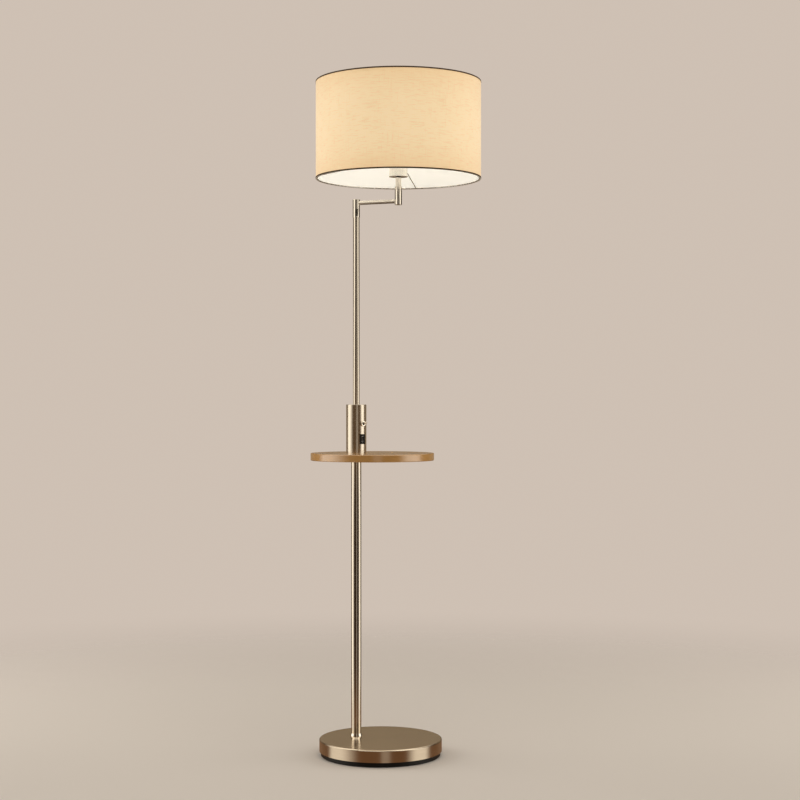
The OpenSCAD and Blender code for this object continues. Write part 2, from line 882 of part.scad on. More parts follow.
module bulb_collar() {
    collar_z = bulb_z + cap_l;
    globe_r = bulb_d / 2;
    seat_r = sqrt(pow(globe_r, 2) - pow(globe_z - collar_top, 2));
    color([0.95, 0.95, 0.93]) on_head() translate([0, 0, collar_z])
        cylinder(d1 = bulb_neck_d, d2 = 2 * seat_r, h = collar_top - collar_z);
}

module bulb_globe() {
    color([1, 0.96, 0.86]) on_head() difference() {
        translate([0, 0, globe_z]) sphere(d = bulb_d);
        translate([0, 0, globe_z]) sphere(d = bulb_d - 2 * globe_t);
        translate([0, 0, globe_z - bulb_d]) cylinder(d = bulb_d + over, h = bulb_d + collar_top - globe_z);
    }
}

// ---- shade ----

module shade_fitter() {
    hub_r = fitter_d / 2 - spoke_d / 2;
    spoke_z = fitter_top - spoke_d / 2 - fit;
    run = ring_wire_r - hub_r;
    fall = spoke_z - wire_low_z;
    spoke_l = sqrt(pow(run, 2) + pow(fall, 2));
    color([0.8, 0.8, 0.8]) on_head() {
        translate([0, 0, cup_top]) ring(fitter_d, fitter_hole, fitter_t);
        translate([0, 0, wire_low_z]) rotate_extrude() translate([ring_wire_r, 0]) circle(d = wire_d);
        for (i = [0 : spoke_count - 1])
            rotate([0, 0, spoke_turn + i * 360 / spoke_count])
                translate([hub_r, 0, spoke_z])
                    rotate([0, atan2(fall, run), 0]) bar(0, spoke_l, spoke_d);
    }
}

module shade_top_wire() {
    color([0.8, 0.8, 0.8]) on_head()
        translate([0, 0, wire_high_z]) rotate_extrude() translate([ring_wire_r, 0]) circle(d = wire_d);
}

module shade_liner() {
    color([0.97, 0.94, 0.88]) on_head() translate([0, 0, shade_z + hem_t])
        ring(2 * liner_r, 2 * liner_ir, shade_h - 2 * hem_t);
}

module shade_linen() {
    color([0.92, 0.82, 0.66]) on_head() translate([0, 0, shade_z + hem_t])
        ring(2 * linen_r, 2 * (linen_r - linen_t), shade_h - 2 * hem_t);
}

// The tape folded over a rim: an outer wall, an inner wall and the edge between them, edge down
module hem() {
    rotate_extrude() difference() {
        translate([hem_ir, 0]) square([shade_d / 2 - hem_ir, hem_h]);
        translate([hem_ir + hem_t, hem_t]) square([shade_d / 2 - hem_ir - 2 * hem_t, hem_h]);
    }
}

module shade_hems() {
    color([0.4, 0.3, 0.18]) on_head() {
        translate([0, 0, shade_z]) hem();
        translate([0, 0, shade_top]) mirror([0, 0, 1]) hem();
    }
}

// ---- flex ----

// A quarter bend that starts at the origin going up and ends going along +X
module bend(r) {
    translate([r, 0, 0]) rotate([90, 0, 0])
        rotate([0, 0, 90]) rotate_extrude(angle = 90) translate([r, 0]) circle(d = flex_d);
}

module flex_stand() {
    start_x = -plinth_d / 2;
    color([0.15, 0.15, 0.15]) {
        translate([0, 0, groove_z]) bar(start_x, pole_x - elbow_r, flex_d);
        on_pole() translate([0, 0, groove_z + elbow_r]) {
            rotate([0, 180, 0]) bend(elbow_r);
            cylinder(d = flex_d, h = upper_top + plug_top_l - groove_z - elbow_r);
        }
    }
}

module flex_arm() {
    riser = spigot_l + hub_rise - flex_bend;
    color([0.15, 0.15, 0.15]) {
        at_pole_joint() translate([0, 0, -spigot_l]) cylinder(d = flex_d, h = riser);
        at_pole_joint() translate([0, 0, hub_rise - flex_bend]) bend(flex_bend);
        translate([0, 0, arm_z]) bar(pole_x + flex_bend, head_x - flex_bend, flex_d);
        at_head_joint() translate([0, 0, hub_rise - flex_bend]) bend(flex_bend);
        at_head_joint() translate([0, 0, -spigot_l]) cylinder(d = flex_d, h = riser);
    }
}

module flex_head() {
    flex_z = post_z - plug_top_l;
    color([0.15, 0.15, 0.15]) on_head() translate([0, 0, flex_z])
        cylinder(d = flex_d, h = well_z - stem_tail - flex_z);
}

base_pad();
base_plate();
cord_gland();
base_weight();
base_cover();
base_nut();
base_washer();
base_stem();
foot_collar();
lower_pole();
pole_bushes();
table_top();
table_stem();
housing_floor();
table_nut();
housing_shell();
switch_body();
switch_nut();
switch_lever();
port_bezel();
port_shell();
port_tongue();
charger_board();
upper_stem();
upper_nut();
upper_washer();
upper_bush();
upper_pole();
pole_plug();
pole_sleeve();
pole_stop_screw();
pole_hub();
arm_rod();
head_hub();
head_sleeve();
head_stop_screw();
head_plug();
post();
holder_stem();
cup_washer();
socket_cup();
cup_nut();
lamp_holder();
screw_shell();
centre_contact();
shade_ring();
bulb_cap();
bulb_collar();
bulb_globe();
shade_fitter();
shade_top_wire();
shade_liner();
shade_linen();
shade_hems();
flex_stand();
flex_arm();
flex_head();
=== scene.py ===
# %% [markdown]
# # A floor lamp with a tray table
#
# The lamp has a weighted round base, a pole in two widths, a wooden tray table with a switch and
# charging housing on it, a swing arm, and a drum shade that is lit from inside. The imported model
# already holds every rigid piece at its real size. This lesson gives each of them its finish, builds
# the shade's cloth and a few small pieces in mesh code, and sets up the studio.
#
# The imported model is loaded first, because everything else takes its place and size from it.

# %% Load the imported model
import json
import math

import bmesh
import bpy
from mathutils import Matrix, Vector


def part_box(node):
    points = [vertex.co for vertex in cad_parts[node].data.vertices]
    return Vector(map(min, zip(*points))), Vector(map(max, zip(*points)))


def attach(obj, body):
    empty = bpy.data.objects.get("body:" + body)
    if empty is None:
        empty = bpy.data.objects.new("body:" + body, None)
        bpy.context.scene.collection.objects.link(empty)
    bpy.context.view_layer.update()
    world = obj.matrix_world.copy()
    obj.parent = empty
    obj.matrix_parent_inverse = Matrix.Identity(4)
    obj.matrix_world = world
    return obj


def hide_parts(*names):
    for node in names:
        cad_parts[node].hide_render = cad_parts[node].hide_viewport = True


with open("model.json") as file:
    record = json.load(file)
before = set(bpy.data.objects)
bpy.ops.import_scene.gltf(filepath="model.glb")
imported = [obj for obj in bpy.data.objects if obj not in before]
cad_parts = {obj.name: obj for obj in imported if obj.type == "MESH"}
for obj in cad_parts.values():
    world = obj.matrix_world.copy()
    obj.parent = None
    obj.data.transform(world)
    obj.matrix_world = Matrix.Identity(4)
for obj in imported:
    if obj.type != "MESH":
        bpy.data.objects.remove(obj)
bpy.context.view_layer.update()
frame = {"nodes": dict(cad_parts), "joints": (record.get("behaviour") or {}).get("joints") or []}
MM = 0.001

# %% [markdown]
# ## The places that the rest is measured from
#
# A box is enough to find an upright round piece: its axis runs through the middle, and its radius
# is half its width. The switch's hinge lies across the housing's face, so the face looks along the
# hinge's axis turned a quarter turn.

# %% Find the axes
def middle(node):
    low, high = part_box(node)
    return (low + high) / 2


def radius_of(node):
    low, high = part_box(node)
    return (high.x - low.x) / 2


pole_axis = middle("lower_pole")
head_axis = middle("post")
base_axis = middle("base_cover")
table_axis = middle("table_top")
joints = {joint["name"]: joint for joint in frame["joints"]}
toggle_axis = Vector(joints["switch_toggle"]["axis"])
face_way = Vector((toggle_axis.y, -toggle_axis.x, 0))
print("pole at x", round(pole_axis.x, 4), "and head at x", round(head_axis.x, 4))

# %% [markdown]
# ## The camera
#
# The photographer stood a little over four metres away with a long lens, held level at waist
# height. A level camera keeps upright lines parallel, as they are in the photograph, so it needs no
# shift. It stands 22 degrees to the right of the lamp's front, so the arm, which lies along X, looks
# a little shorter than it is.

# %% Place the camera
LENS_MM = 76.19
SENSOR_MM = 36
VIEW_TURN = math.radians(22)
VIEW_DISTANCE = 4.15
VIEW_HEIGHT = 0.870
BASE_LEFT_OF_AXIS = 0.0475

towards_camera = Vector((math.sin(VIEW_TURN), -math.cos(VIEW_TURN), 0))
camera_right = Vector((math.cos(VIEW_TURN), math.sin(VIEW_TURN), 0))
camera_data = bpy.data.cameras.new("camera")
camera_data.lens = LENS_MM
camera_data.sensor_width = SENSOR_MM
camera = bpy.data.objects.new("camera", camera_data)
camera.location = towards_camera * VIEW_DISTANCE + camera_right * BASE_LEFT_OF_AXIS
camera.location.z = VIEW_HEIGHT
camera.rotation_euler = (math.radians(90), 0, VIEW_TURN)
bpy.context.scene.collection.objects.link(camera)
bpy.context.scene.camera = camera
bpy.context.scene.view_settings.view_transform = "Standard"
print("camera at", [round(value, 3) for value in camera.location])

# %% [markdown]
# ## Shader maths as Python
#
# A node tree is easier to read as a formula. `Signal` wraps one output socket and overloads the
# operators, so `1 - mask * 0.4` adds its own Math nodes. The reflected forms, such as `__rsub__`,
# let a plain number stand on the left. Two measures that many patterns need follow the class.

# %% A socket that does maths
class Signal:
    def __init__(self, finish, socket):
        self.finish = finish
        self.socket = socket

    def math(self, operation, other=None):
        inputs = {0: self} if other is None else {0: self, 1: other}
        return self.finish.node("ShaderNodeMath", {"operation": operation}, inputs)

    def __add__(self, other):
        return self.math("ADD", other)

    def __radd__(self, other):
        return self.math("ADD", other)

    def __mul__(self, other):
        return self.math("MULTIPLY", other)

    def __rmul__(self, other):
        return self.math("MULTIPLY", other)

    def __sub__(self, other):
        return self.math("SUBTRACT", other)

    def __rsub__(self, other):
        return self.finish.node("ShaderNodeMath", {"operation": "SUBTRACT"}, {0: other, 1: self})

    def __truediv__(self, other):
        return self.math("DIVIDE", other)

    def __pow__(self, other):
        return self.math("POWER", other)

    def sine(self):
        return self.math("SINE")

    def size(self):
        return self.math("ABSOLUTE")

    def larger(self, other):
        return self.math("MAXIMUM", other)

    def smooth_step(self, low, high):
        """Rises from 0 at low to 1 at high."""
        settings = {"interpolation_type": "SMOOTHSTEP"}
        inputs = {"Value": self, "From Min": low, "From Max": high}
        return self.finish.node("ShaderNodeMapRange", settings, inputs)

    def averaged(self, other, weight):
        """The mean of two signals, in which this one has the given weight."""
        return self * weight + other * (1 - weight)

    def swing(self, amount):
        """Half the amount down or up, for a signal that goes from 0 to 1."""
        return (self - 0.5) * amount

    def beside(self, output):
        """Another output of the same node."""
        return Signal(self.finish, self.socket.node.outputs[output])


def off_axis(x, y):
    """How far a point is from an axis, from its two distances across it."""
    return (x * x + y * y) ** 0.5


def angle_round(x, y):
    """A point's angle round the Z axis, in radians."""
    return y.math("ARCTAN2", x)


# %% [markdown]
# ## One method for every other node
#
# `Finish` is a material. Its `node` method takes a node's type, the settings that have to be made
# first, and what goes into its sockets. The shader's constant values are set on its own sockets,
# where an exported model can find them, and only what changes over the surface is linked.

# %% A material that builds its own nodes
class Finish:
    def __init__(self, name, tree=None):
        self.material = None
        if tree is None:
            self.material = bpy.data.materials.new(name)
            self.material.use_nodes = True
            tree = self.material.node_tree
        self.tree = tree
        self.tree.nodes.clear()

    def feed(self, socket, value):
        if isinstance(value, Signal):
            self.tree.links.new(value.socket, socket)
        elif isinstance(value, tuple) and len(value) == 3 and socket.type == "RGBA":
            socket.default_value = (*value, 1)
        else:
            socket.default_value = value

    def node(self, kind, settings=None, inputs=None, output=0):
        """Adds a node and gives one of its outputs, or nothing if output is None."""
        made = self.tree.nodes.new(kind)
        for name, value in (settings or {}).items():
            setattr(made, name, value)
        for name, value in (inputs or {}).items():
            self.feed(made.inputs[name], value)
        return None if output is None else Signal(self, made.outputs[output])

    def place(self, centre=(0, 0, 0), turn=(0, 0, 0)):
        """The point on the piece, measured from a centre."""
        where = self.node("ShaderNodeTexCoord", output="Object")
        inputs = {0: where, 1: tuple(centre)}
        moved = self.node("ShaderNodeVectorMath", {"operation": "SUBTRACT"}, inputs)
        return self.node("ShaderNodeMapping", inputs={"Vector": moved, "Rotation": turn})

    def parts(self, vector):
        x = self.node("ShaderNodeSeparateXYZ", inputs={0: vector}, output="X")
        return x, x.beside("Y"), x.beside("Z")

    def join(self, x, y, z):
        return self.node("ShaderNodeCombineXYZ", inputs={0: x, 1: y, 2: z})

    def stretch(self, point, scales):
        """The point with a scale for each axis, which draws out a pattern on it."""
        return self.join(*[part * scale for part, scale in zip(point, scales)])

    def noise(self, vector, detail=2.0, scale=1.0, rough=0.5, fourth=None):
        settings = {"noise_dimensions": "3D" if fourth is None else "4D"}
        inputs = {"Vector": vector, "Scale": scale, "Detail": detail, "Roughness": rough}
        if fourth is not None:
            inputs["W"] = fourth
        return self.node("ShaderNodeTexNoise", settings, inputs)

    def mix(self, mask, first, second):
        """Goes from the first colour to the second as the mask goes from 0 to 1."""
        settings = {"data_type": "RGBA", "clamp_factor": True}
        return self.node("ShaderNodeMix", settings, {0: mask, 6: first, 7: second}, output=2)

    def bump(self, height, depth, strength=1.0):
        inputs = {"Height": height, "Distance": depth, "Strength": strength}
        return self.node("ShaderNodeBump", inputs=inputs)

    def show(self, shader, kind="ShaderNodeOutputMaterial"):
        self.node(kind, inputs={"Surface": shader}, output=None)
        return self.material

    def surface(self, **inputs):
        """A Principled shader. Each name is a socket's, with _ in place of a space."""
        named = {name.replace("_", " "): value for name, value in inputs.items()}
        return self.show(self.node("ShaderNodeBsdfPrincipled", inputs=named))


def dress(material, *nodes):
    """Gives CAD nodes their finish. Their shape isn't touched."""
    for node in nodes:
        mesh = frame["nodes"][node].data
        mesh.materials.clear()
        mesh.materials.append(material)
    print("dressed", len(nodes), "nodes in", material.name)


# %% [markdown]
# ## Turned and ground metal
#
# Every nickel piece here was turned or ground while it spun, so its fine lines run round its axis.
# They blur a reflection along the axis and leave it crisp across, and that is why a ground tube
# shows sharp upright bands of light and dark. The lines change only with the height and the
# distance from the axis. The direction round the axis goes in as a point on a small circle, so that
# the pattern closes on itself with no seam.

# %% Lines that run round an axis
LINES_PER_M = 1500
BANDS_PER_M = 70
LINE_ARC = 1.6
BAND_ARC = 2
LINE_DEPTH = 0.005 * MM
NEVER_ZERO = 1e-6


def round_lines(finish, centre, turn=(0, 0, 0)):
    """Fine lines and slow bands, both from 0 to 1."""
    x, y, z = finish.parts(finish.place(centre, turn))
    distance = off_axis(x, y)
    safe = distance + NEVER_ZERO
    across = x / safe * LINE_ARC
    along = y / safe * LINE_ARC
    on_lines = finish.join(across, along, z * LINES_PER_M)
    fine = finish.noise(on_lines, detail=3.0, fourth=distance * LINES_PER_M)
    on_bands = finish.stretch((across, along, z), (BAND_ARC, BAND_ARC, BANDS_PER_M))
    bands = finish.noise(on_bands, fourth=distance * BANDS_PER_M)
    return fine, bands


def toned(colour, by):
    """The same colour, darker for a number under 1 and lighter for one over 1."""
    return tuple(channel * by for channel in colour)


def ground_metal(name, centre, colour, roughness, streak=0.0, turn=(0, 0, 0)):
    finish = Finish(name)
    fine, bands = round_lines(finish, centre, turn)
    lines = fine.averaged(bands, weight=0.6)
    return finish.surface(
        Base_Color=finish.mix(lines, toned(colour, by=0.86), toned(colour, by=1.1)),
        Metallic=1.0,
        Roughness=roughness + fine.swing(0.08) + bands.swing(0.02),
        Normal=finish.bump(fine, LINE_DEPTH, strength=0.15),
        Anisotropic=streak,
    )


# %% [markdown]
# ## The nickel
#
# All the nickel is warm in tone, but it isn't equally bright. The tubes and the housing are the
# deepest, the knuckles are paler, and the foot's collar and the switch's nut are paler still. The
# arm is given the same pale colour as painted light, for the shade's glow that falls on it. The cup
# is the palest, which is painted light from the bulb that stands over it. `streak` is the shader's
# anisotropy, which blurs a reflection more along the axis than round it. The arm lies along X, so
# its pattern is turned to lie round the arm.

# %% Dress the nickel pieces
TUBE_NICKEL = (0.66, 0.595, 0.505)
KNUCKLE_NICKEL = (0.75, 0.695, 0.61)
BRIGHT_NICKEL = (0.80, 0.745, 0.66)
CUP_LIT_NICKEL = (0.90, 0.86, 0.78)
TUBE_STREAK = 0.45
ALONG_X = (0, math.radians(90), 0)


def ground_tube(name, axis, colour, roughness):
    return ground_metal(name, axis, colour, roughness, streak=TUBE_STREAK)


dress(ground_tube("brushed_nickel_housing", pole_axis, TUBE_NICKEL, roughness=0.19), "housing_shell")
pole_metal = ground_tube("satin_nickel_pole", pole_axis, TUBE_NICKEL, roughness=0.16)
dress(pole_metal, "lower_pole", "upper_pole")
dress(ground_tube("satin_nickel_sleeve", pole_axis, KNUCKLE_NICKEL, roughness=0.16), "pole_sleeve")
head_metal = ground_tube("satin_nickel_head", head_axis, KNUCKLE_NICKEL, roughness=0.17)
dress(head_metal, "head_sleeve", "post")
# Painted light: the arm's pale nickel stands in for the shade's glow falling on it.
arm_metal = ground_metal(
    "satin_nickel_arm", middle("arm_rod"), BRIGHT_NICKEL, roughness=0.15, turn=ALONG_X
)
dress(arm_metal, "arm_rod")
dress(ground_metal("bright_nickel_pole", pole_axis, BRIGHT_NICKEL, roughness=0.10), "foot_collar")
# Painted light: the cup's palest nickel stands in for the bulb's light on it.
dress(ground_metal("bright_nickel_head", head_axis, CUP_LIT_NICKEL, roughness=0.22), "socket_cup")
switch_metal = ground_metal(
    "bright_nickel_switch", middle("switch_nut"), BRIGHT_NICKEL, roughness=0.12, turn=ALONG_X
)
dress(switch_metal, "switch_nut", "switch_lever")

# %% [markdown]
# ## The spun cover
#
# The cover is one sheet that was pressed over a form as it spun. Its wide top was then brushed, and
# its skirt polished a little smoother, so one material has two values of roughness. It also has two
# colours: the top is painted paler than the skirt, which is painted light.
# It goes from one to the other over the rounded edge, where the height above the floor says which
# face it is on.

# %% Dress the cover
SKIRT_ROUGH = 0.15
TOP_ROUGH = 0.21
SKIRT_NICKEL = (0.58, 0.505, 0.405)
TOP_LIT_NICKEL = (0.78, 0.655, 0.49)
EDGE_HEIGHT = 3 * MM
cover_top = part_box("base_cover")[1].z


def spun_metal(name):
    finish = Finish(name)
    fine, bands = round_lines(finish, base_axis)
    _, _, z = finish.parts(finish.place())
    on_top = z.smooth_step(cover_top - EDGE_HEIGHT, cover_top)
    lines = fine.averaged(bands, weight=0.5)
    skirt = finish.mix(lines, toned(SKIRT_NICKEL, by=0.84), toned(SKIRT_NICKEL, by=1.08))
    # Painted light: the top's paler nickel makes it look more brightly lit than the skirt.
    top = finish.mix(lines, toned(TOP_LIT_NICKEL, by=0.84), toned(TOP_LIT_NICKEL, by=1.08))
    return finish.surface(
        Base_Color=finish.mix(on_top, skirt, top),
        Metallic=1.0,
        Roughness=SKIRT_ROUGH + on_top * (TOP_ROUGH - SKIRT_ROUGH) + fine.swing(0.12),
        Normal=finish.bump(fine, LINE_DEPTH),
        Anisotropic=0.4,
    )


dress(spun_metal("brushed_nickel_cover"), "base_cover")

# %% [markdown]
# ## The swivel hubs
#
# A hub is ground where it shows. Its spigot turns inside the split sleeve, where it is dull, and it
# is painted dark there as painted shade, which makes the sleeve's slot look black. A hub is one
# solid, so the change comes from the height: it is ground on one side of the joint's face and
# painted dark on the other.

# %% Dress the hubs
SPIGOT_SHADE_DARK = (0.11, 0.10, 0.085)
FACE_BLUR = 0.3 * MM


def hub_metal(name, axis, joint, inward):
    """Inward is -1 where the spigot points down, and 1 where it points up."""
    finish = Finish(name)
    fine, bands = round_lines(finish, axis)
    _, _, z = finish.parts(finish.place((0, 0, joints[joint]["pos_m"][2])))
    spigot = (z * inward).smooth_step(0, FACE_BLUR)
    lines = fine.averaged(bands, weight=0.6)
    ground = finish.mix(lines, toned(KNUCKLE_NICKEL, by=0.86), KNUCKLE_NICKEL)
    return finish.surface(
        # Painted shade: the spigot's dark colour stands in for the shade inside the sleeve's slot.
        Base_Color=finish.mix(spigot, ground, SPIGOT_SHADE_DARK),
        Metallic=1.0,
        Roughness=0.17 + spigot * 0.15 + fine.swing(0.08),
        Normal=finish.bump(fine, LINE_DEPTH, strength=0.15),
    )


dress(hub_metal("satin_nickel_pole_hub", pole_axis, "arm_swing", inward=-1), "pole_hub")
dress(hub_metal("satin_nickel_head_hub", head_axis, "head_swing", inward=1), "head_hub")

# %% [markdown]
# ## Threads, plating and castings
#
# The pieces inside are seen only where the lamp is opened, but they carry their own finish. A
# thread is a ridge that climbs as it goes round, so its height is a sine of the height along the
# stem plus the turn round it. The thread's roots are painted darker, as painted shade, under a
# noise of grime. Zinc plating has broad, faint crystals, and a casting has a coarse skin.

# %% Dress the inner metal
FULL_TURN = 2 * math.pi
THREAD_PITCH = 1 * MM
THREAD_DEPTH = 0.3 * MM
CRYSTAL_DEPTH = 0.05 * MM
SKIN_DEPTH = 0.4 * MM


def threaded(name, centre, colour, roughness):
    finish = Finish(name)
    x, y, z = finish.parts(finish.place(centre))
    ridge = (z * (FULL_TURN / THREAD_PITCH) + angle_round(x, y)).sine()
    grime = finish.noise(finish.place(centre), scale=300.0, detail=3.0)
    # Painted shade in the thread's roots, mixed with grime.
    grime_and_root_shade = grime.averaged(ridge * 0.5 + 0.5, weight=0.6)
    return finish.surface(
        Base_Color=finish.mix(grime_and_root_shade, toned(colour, by=0.6), colour),
        Metallic=1.0,
        Roughness=roughness + grime.swing(0.2),
        Normal=finish.bump(ridge, THREAD_DEPTH, strength=0.8),
    )


def plated(name, colour, roughness, grain=260.0):
    finish = Finish(name)
    crystals = finish.noise(finish.place(), scale=grain)
    return finish.surface(
        Base_Color=finish.mix(crystals, toned(colour, by=0.78), colour),
        Metallic=1.0,
        Roughness=roughness + crystals.swing(0.25),
        Normal=finish.bump(crystals, CRYSTAL_DEPTH, strength=0.3),
    )


def cast(name, colour):
    finish = Finish(name)
    skin = finish.noise(finish.place(), scale=420.0, detail=5.0, rough=0.65)
    return finish.surface(
        Base_Color=finish.mix(skin, toned(colour, by=0.5), toned(colour, by=1.5)),
        Metallic=0.7,
        Roughness=0.6 + skin * 0.3,
        Normal=finish.bump(skin, SKIN_DEPTH),
    )


BRASS = (0.72, 0.56, 0.28)
ZINC = (0.62, 0.62, 0.60)
BLACK_STEEL = (0.06, 0.05, 0.045)
PLATED_WIRE = (0.70, 0.68, 0.64)
PORT_STEEL = (0.62, 0.62, 0.63)
BULB_CAP_METAL = (0.72, 0.72, 0.72)
IRON = (0.10, 0.10, 0.10)
pole_thread = threaded("brass_thread_pole", pole_axis, BRASS, roughness=0.3)
dress(pole_thread, "base_stem", "table_stem", "upper_stem")
head_thread = threaded("brass_thread_head", head_axis, BRASS, roughness=0.3)
dress(head_thread, "holder_stem", "screw_shell")
dress(plated("brass_contact", BRASS, roughness=0.25), "centre_contact")
dress(
    plated("zinc_plate", ZINC, roughness=0.38),
    "base_nut", "base_washer", "pole_bushes", "housing_floor", "table_nut", "upper_nut",
    "upper_washer", "upper_bush", "pole_plug", "head_plug", "cup_nut",
)
black_steel = plated("blackened_steel", BLACK_STEEL, roughness=0.42)
dress(black_steel, "pole_stop_screw", "head_stop_screw", "cup_washer")
wire_metal = plated("plated_wire", PLATED_WIRE, roughness=0.28, grain=120.0)
dress(wire_metal, "shade_fitter", "shade_top_wire")
dress(plated("port_metal", PORT_STEEL, roughness=0.22), "port_shell")
dress(threaded("bulb_cap_thread", head_axis, BULB_CAP_METAL, roughness=0.3), "bulb_cap")
dress(cast("cast_iron", IRON), "base_weight")

# %% [markdown]
# ## Plastic, rubber and foam
#
# Moulded black plastic has a fine, even grain from its mould. Foam is rougher and shows its cells.
# Both come from one function, with the grain's size and depth as its choices.

# %% Dress the plastic pieces
CLOUD_TO_GRAIN = 30


def moulded(name, dark, light, roughness, grain, depth, gloss=0.5):
    finish = Finish(name)
    grains = finish.noise(finish.place(), scale=grain, detail=3.0)
    cloud = finish.noise(finish.place(), scale=grain / CLOUD_TO_GRAIN)
    return finish.surface(
        Base_Color=finish.mix(grains.averaged(cloud, weight=0.6), dark, light),
        Roughness=roughness + cloud.swing(0.15),
        Normal=finish.bump(grains, depth, strength=0.4),
        Specular_IOR_Level=gloss,
    )


PLASTIC_BLACK = (0.006, 0.005, 0.004)
PLASTIC_GREY = (0.018, 0.016, 0.014)
black_plastic = moulded(
    "black_plastic", PLASTIC_BLACK, PLASTIC_GREY,
    roughness=0.45, grain=1800, depth=0.06 * MM, gloss=0.18,
)
foam = moulded(
    "foam", dark=(0.02, 0.02, 0.02), light=(0.06, 0.06, 0.06),
    roughness=0.9, grain=700, depth=0.6 * MM,
)
rubber = moulded(
    "rubber", dark=(0.015, 0.015, 0.015), light=(0.035, 0.034, 0.033),
    roughness=0.7, grain=1100, depth=0.1 * MM,
)
white_plastic = moulded(
    "white_plastic", dark=(0.80, 0.77, 0.70), light=(0.90, 0.87, 0.80),
    roughness=0.32, grain=900, depth=0.03 * MM,
)
grey_plastic = moulded(
    "grey_plastic", dark=(0.30, 0.29, 0.28), light=(0.40, 0.39, 0.37),
    roughness=0.5, grain=900, depth=0.03 * MM,
)
circuit_board = moulded(
    "circuit_board", dark=(0.010, 0.09, 0.035), light=(0.03, 0.20, 0.08),
    roughness=0.35, grain=500, depth=0.05 * MM,
)
dress(black_plastic, "base_plate", "port_bezel")
dress(foam, "base_pad")
dress(rubber, "cord_gland", "flex_stand", "flex_arm", "flex_head")
dress(white_plastic, "lamp_holder", "shade_ring")
dress(grey_plastic, "port_tongue")
dress(circuit_board, "charger_board")

# %% [markdown]
# ## The switch
#
# The switch is one solid: a black body inside the housing, and a bright threaded bushing that comes
# out through the wall. How far a point lies out from the housing's axis says which of the two it is
# on. The bushing's bore is painted black, as painted shade in the hole, and two dark dots beside the
# lever are all that shows of it.

# %% Dress the switch
BUSHING_START = 19.5 * MM
BUSHING_BORE = 3.8 * MM
BORE_BLUR = 0.3 * MM
SWITCH_GRAIN_DEPTH = 0.04 * MM


def switch_finish(name):
    finish = Finish(name)
    x, y, _ = finish.parts(finish.place(pole_axis))
    out = x * face_way.x + y * face_way.y
    across = x * toggle_axis.x + y * toggle_axis.y
    _, _, up = finish.parts(finish.place(middle("switch_nut")))
    bushing = out.smooth_step(BUSHING_START, BUSHING_START + BORE_BLUR)
    past_bore = off_axis(across, up).smooth_step(BUSHING_BORE, BUSHING_BORE + BORE_BLUR)
    # Painted shade: inside its bore the bushing takes the black plastic colour.
    bushing = bushing * past_bore
    grains = finish.noise(finish.place(), scale=1800.0, detail=3.0)
    plastic = finish.mix(grains, PLASTIC_BLACK, PLASTIC_GREY)
    return finish.surface(
        Base_Color=finish.mix(bushing, plastic, BRIGHT_NICKEL),
        Metallic=bushing,
        Roughness=0.45 - bushing * 0.3 + grains.swing(0.1),
        Normal=finish.bump(grains, SWITCH_GRAIN_DEPTH, strength=0.3),
    )


dress(switch_finish("switch_plastic_and_nickel"), "switch_body")

# %% [markdown]
# ## The wooden tray
#
# The tray is a light hardwood under clear lacquer. Wood is a solid pattern: long, stretched noise
# gives the year rings, a finer one gives the fibres, and short dark dashes are the pores. The same
# solid pattern is cut by the top and by the edge, as it is in a real board. Each scale is per
# metre: along the grain, across it and up.

# %% Dress the tray
WOOD_LIGHT = (0.73, 0.385, 0.092)
WOOD_DARK = (0.53, 0.230, 0.038)
WOOD_PORE = (0.28, 0.11, 0.030)
GRAIN_TURN = math.radians(-14)
WANDER_SCALE = (3, 9, 9)
RING_SCALE = (2.2, 42, 60)
FIBRE_SCALE = (26, 620, 620)
PORE_SCALE = (90, 1500, 1500)
RING_WANDER = 30 * MM
PORE_EDGE = (0.62, 0.76)
FIBRE_DEPTH = 0.12 * MM


def lacquered_wood(name):
    finish = Finish(name)
    x, y, z = finish.parts(finish.place(table_axis, (0, 0, GRAIN_TURN)))
    wander = finish.noise(finish.stretch((x, y, z), WANDER_SCALE))
    rings = finish.noise(finish.stretch((x, y + wander * RING_WANDER, z), RING_SCALE))
    fibres = finish.noise(finish.stretch((x, y, z), FIBRE_SCALE), detail=3.0)
    pores = finish.noise(finish.stretch((x, y, z), PORE_SCALE), detail=1.0).smooth_step(*PORE_EDGE)
    grain = finish.mix(rings.averaged(fibres, weight=0.65), WOOD_DARK, WOOD_LIGHT)
    return finish.surface(
        Base_Color=finish.mix(pores * 0.5, grain, WOOD_PORE),
        Roughness=0.42 + fibres.swing(0.2),
        Normal=finish.bump(fibres - pores, FIBRE_DEPTH, strength=0.35),
        Coat_Weight=1.0,
        Coat_Roughness=0.16,
        Coat_IOR=2.1,
    )


dress(lacquered_wood("lacquered_wood"), "table_top")

# %% [markdown]
# ## The bulb
#
# The bulb is switched on, so its globe gives light. The globe is opal, with a slightly warmer foot
# where the plastic collar begins. This light is what falls on the liner, the cup and the spokes.

# %% Dress the bulb
BULB_WARM = (1.0, 0.80, 0.56)
BULB_WHITE = (1.0, 0.95, 0.87)
OPAL_DEEP = (0.86, 0.84, 0.80)
OPAL_PALE = (0.94, 0.93, 0.90)
WARM_BELOW = 10 * MM
WHITE_ABOVE = 30 * MM
globe_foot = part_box("bulb_globe")[0].z


def glowing(name, strength, roughness):
    finish = Finish(name)
    _, _, z = finish.parts(finish.place())
    rise = z.smooth_step(globe_foot - WARM_BELOW, globe_foot + WHITE_ABOVE)
    speckle = finish.noise(finish.place(), scale=700.0)
    return finish.surface(
        Base_Color=finish.mix(speckle, OPAL_DEEP, OPAL_PALE),
        Roughness=roughness + speckle.swing(0.1),
        Emission_Color=finish.mix(rise, BULB_WARM, BULB_WHITE),
        Emission_Strength=strength,
    )


dress(glowing("opal_globe", strength=9.0, roughness=0.35), "bulb_globe")
dress(glowing("bulb_collar", strength=0.35, roughness=0.45), "bulb_collar")
